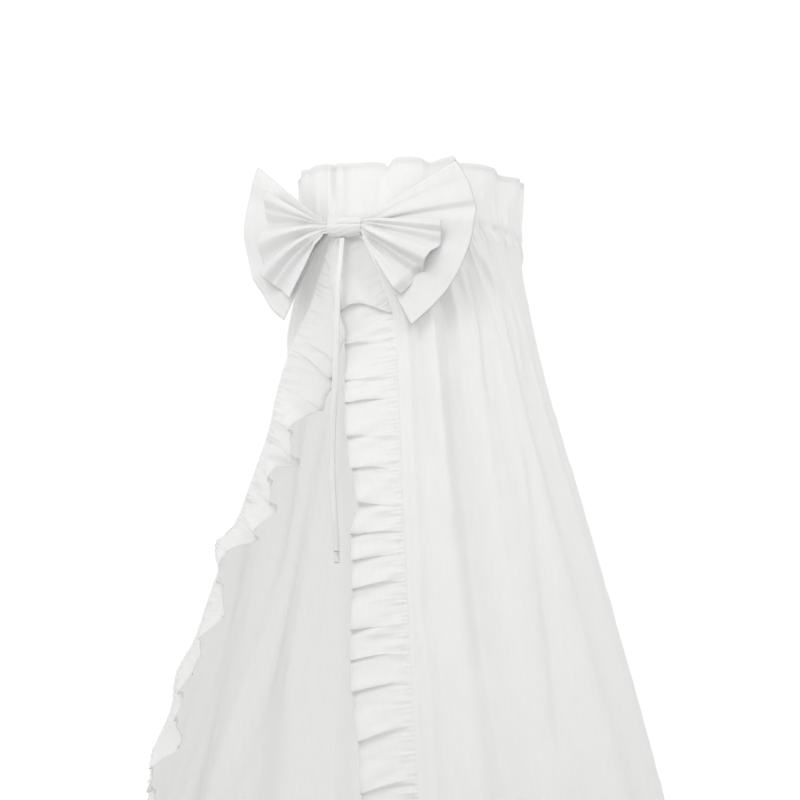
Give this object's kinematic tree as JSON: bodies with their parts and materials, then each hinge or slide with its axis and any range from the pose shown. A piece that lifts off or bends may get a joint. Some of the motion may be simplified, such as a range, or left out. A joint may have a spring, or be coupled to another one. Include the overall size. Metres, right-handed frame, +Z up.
{
  "type": "crib canopy",
  "caption": "White cotton crib canopy gathered on a hoop line, open at the front, with ruffled edges and a large double bow at the top.",
  "frame": {"origin": "centre of the gather line, where the cloth is held on its hoop", "axes": "+Z up through the heading; the opening and the bow face -Y; +X is to the right seen from the front"},
  "size_m": [1.0677, 0.7404, 1.573],
  "materials": {
    "canopy_cotton": "thin plain-woven cotton, matte, slightly sheer",
    "ruffle_cotton": "thin plain-woven cotton, matte, creased",
    "bow_cotton": "plain-woven cotton in two layers, matte, crisp",
    "tie_cotton": "narrow folded cotton tape, matte"
  },
  "bodies": {
    "root": {"canopy_cloth": "canopy_cotton", "ruffle_left": "ruffle_cotton", "ruffle_right": "ruffle_cotton", "bow_back": "bow_cotton", "bow_front": "bow_cotton", "bow_knot": "bow_cotton", "tie_long": "tie_cotton", "tie_short": "tie_cotton"}
  },
  "joints": []
}
